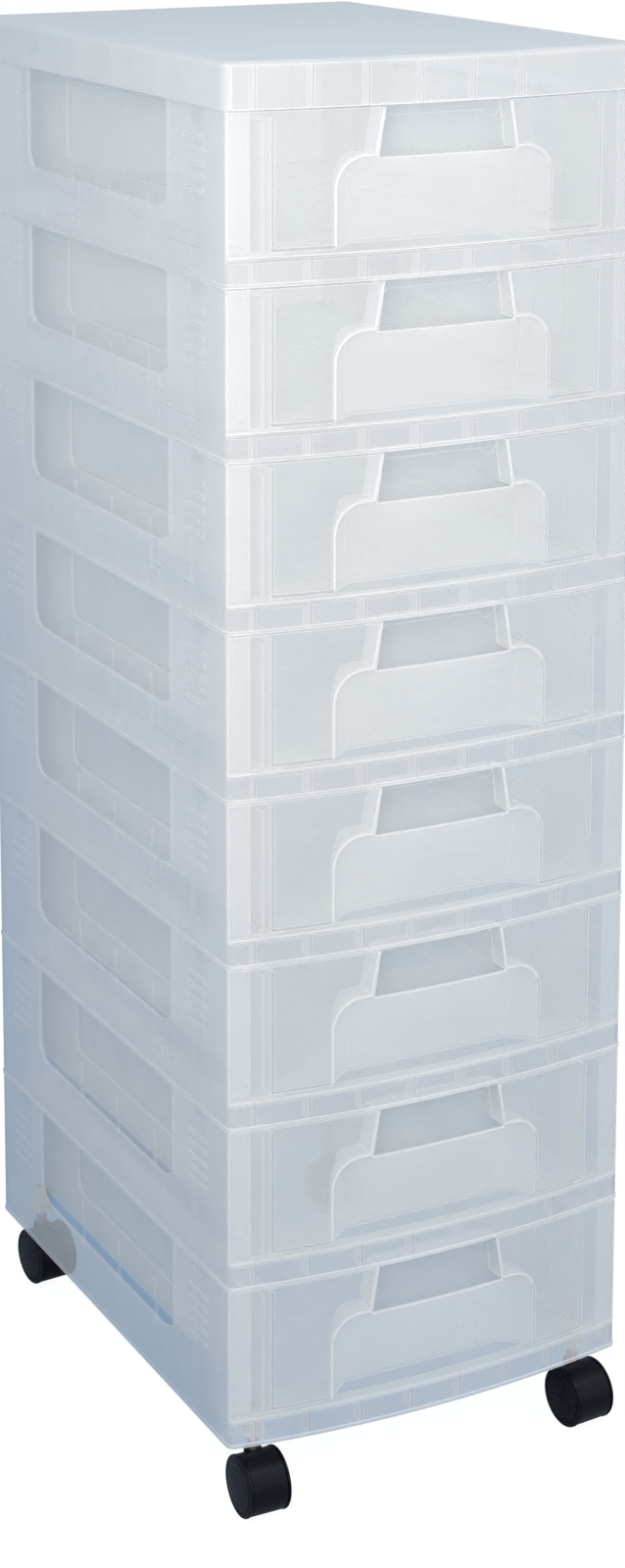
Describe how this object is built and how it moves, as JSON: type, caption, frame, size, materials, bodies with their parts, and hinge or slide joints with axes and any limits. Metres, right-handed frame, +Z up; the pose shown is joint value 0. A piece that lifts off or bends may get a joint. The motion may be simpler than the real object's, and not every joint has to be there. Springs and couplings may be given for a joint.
{
  "type": "plastic drawer tower",
  "caption": "Tall narrow tower of translucent plastic drawers in stacked open-sided frames, with a flat lid and swivelling twin-wheel castors.",
  "frame": {"origin": "on the floor under the middle of the plan", "axes": "+Z up, drawers open towards -Y, +X to the right seen from the front"},
  "size_m": [0.3026, 0.4138, 0.9633],
  "materials": {
    "frame_plastic": "translucent polypropylene, fine satin",
    "drawer_plastic": "translucent polypropylene, satin",
    "lid_plastic": "translucent polypropylene, satin",
    "castor_plastic": "black nylon",
    "socket_plastic": "natural nylon",
    "wheel_plastic": "black nylon, polished by rolling",
    "steel": "zinc plated"
  },
  "bodies": {
    "root": {"frame_1": "frame_plastic", "frame_2": "frame_plastic", "frame_3": "frame_plastic", "frame_4": "frame_plastic", "frame_5": "frame_plastic", "frame_6": "frame_plastic", "frame_7": "frame_plastic", "frame_8": "frame_plastic", "lid": "lid_plastic", "castor_fl_socket": "socket_plastic", "castor_fr_socket": "socket_plastic", "castor_rl_socket": "socket_plastic", "castor_rr_socket": "socket_plastic"},
    "drawer_1": {"drawer_1": "drawer_plastic"},
    "drawer_2": {"drawer_2": "drawer_plastic"},
    "drawer_3": {"drawer_3": "drawer_plastic"},
    "drawer_4": {"drawer_4": "drawer_plastic"},
    "drawer_5": {"drawer_5": "drawer_plastic"},
    "drawer_6": {"drawer_6": "drawer_plastic"},
    "drawer_7": {"drawer_7": "drawer_plastic"},
    "drawer_8": {"drawer_8": "drawer_plastic"},
    "castor_fl_swivel": {"castor_fl_stem": "steel", "castor_fl_housing": "castor_plastic"},
    "castor_fl_wheels": {"castor_fl_axle": "steel", "castor_fl_wheel_left": "wheel_plastic", "castor_fl_wheel_right": "wheel_plastic"},
    "castor_fr_swivel": {"castor_fr_stem": "steel", "castor_fr_housing": "castor_plastic"},
    "castor_fr_wheels": {"castor_fr_axle": "steel", "castor_fr_wheel_left": "wheel_plastic", "castor_fr_wheel_right": "wheel_plastic"},
    "castor_rl_swivel": {"castor_rl_stem": "steel", "castor_rl_housing": "castor_plastic"},
    "castor_rl_wheels": {"castor_rl_axle": "steel", "castor_rl_wheel_left": "wheel_plastic", "castor_rl_wheel_right": "wheel_plastic"},
    "castor_rr_swivel": {"castor_rr_stem": "steel", "castor_rr_housing": "castor_plastic"},
    "castor_rr_wheels": {"castor_rr_axle": "steel", "castor_rr_wheel_left": "wheel_plastic", "castor_rr_wheel_right": "wheel_plastic"}
  },
  "joints": [
    {"name": "drawer_1_slide", "type": "slide", "parent": "root", "child": "drawer_1", "axis": [0, -1, 0], "range_m": [0, 0.3]},
    {"name": "drawer_2_slide", "type": "slide", "parent": "root", "child": "drawer_2", "axis": [0, -1, 0], "range_m": [0, 0.3]},
    {"name": "drawer_3_slide", "type": "slide", "parent": "root", "child": "drawer_3", "axis": [0, -1, 0], "range_m": [0, 0.3]},
    {"name": "drawer_4_slide", "type": "slide", "parent": "root", "child": "drawer_4", "axis": [0, -1, 0], "range_m": [0, 0.3]},
    {"name": "drawer_5_slide", "type": "slide", "parent": "root", "child": "drawer_5", "axis": [0, -1, 0], "range_m": [0, 0.3]},
    {"name": "drawer_6_slide", "type": "slide", "parent": "root", "child": "drawer_6", "axis": [0, -1, 0], "range_m": [0, 0.3]},
    {"name": "drawer_7_slide", "type": "slide", "parent": "root", "child": "drawer_7", "axis": [0, -1, 0], "range_m": [0, 0.3]},
    {"name": "drawer_8_slide", "type": "slide", "parent": "root", "child": "drawer_8", "axis": [0, -1, 0], "range_m": [0, 0.3]},
    {"name": "castor_fl_swivel_turn", "type": "hinge", "parent": "root", "child": "castor_fl_swivel", "pos_m": [-0.125, -0.1761, 0.0533], "axis": [0, 0, 1], "continuous": true},
    {"name": "castor_fl_wheels_roll", "type": "hinge", "parent": "castor_fl_swivel", "child": "castor_fl_wheels", "pos_m": [-0.12516, -0.1851, 0.0206], "axis": [0.9998, -0.0175, 0], "continuous": true},
    {"name": "castor_fr_swivel_turn", "type": "hinge", "parent": "root", "child": "castor_fr_swivel", "pos_m": [0.125, -0.1761, 0.0533], "axis": [0, 0, 1], "continuous": true},
    {"name": "castor_fr_wheels_roll", "type": "hinge", "parent": "castor_fr_swivel", "child": "castor_fr_wheels", "pos_m": [0.12578, -0.18507, 0.0206], "axis": [0.9962, 0.0872, 0], "continuous": true},
    {"name": "castor_rl_swivel_turn", "type": "hinge", "parent": "root", "child": "castor_rl_swivel", "pos_m": [-0.125, 0.1829, 0.0533], "axis": [0, 0, 1], "continuous": true},
    {"name": "castor_rl_wheels_roll", "type": "hinge", "parent": "castor_rl_swivel", "child": "castor_rl_wheels", "pos_m": [-0.12422, 0.17393, 0.0206], "axis": [0.9962, 0.0872, 0], "continuous": true},
    {"name": "castor_rr_swivel_turn", "type": "hinge", "parent": "root", "child": "castor_rr_swivel", "pos_m": [0.125, 0.1829, 0.0533], "axis": [0, 0, 1], "continuous": true},
    {"name": "castor_rr_wheels_roll", "type": "hinge", "parent": "castor_rr_swivel", "child": "castor_rr_wheels", "pos_m": [0.125, 0.1739, 0.0206], "axis": [1, 0, 0], "continuous": true}
  ]
}
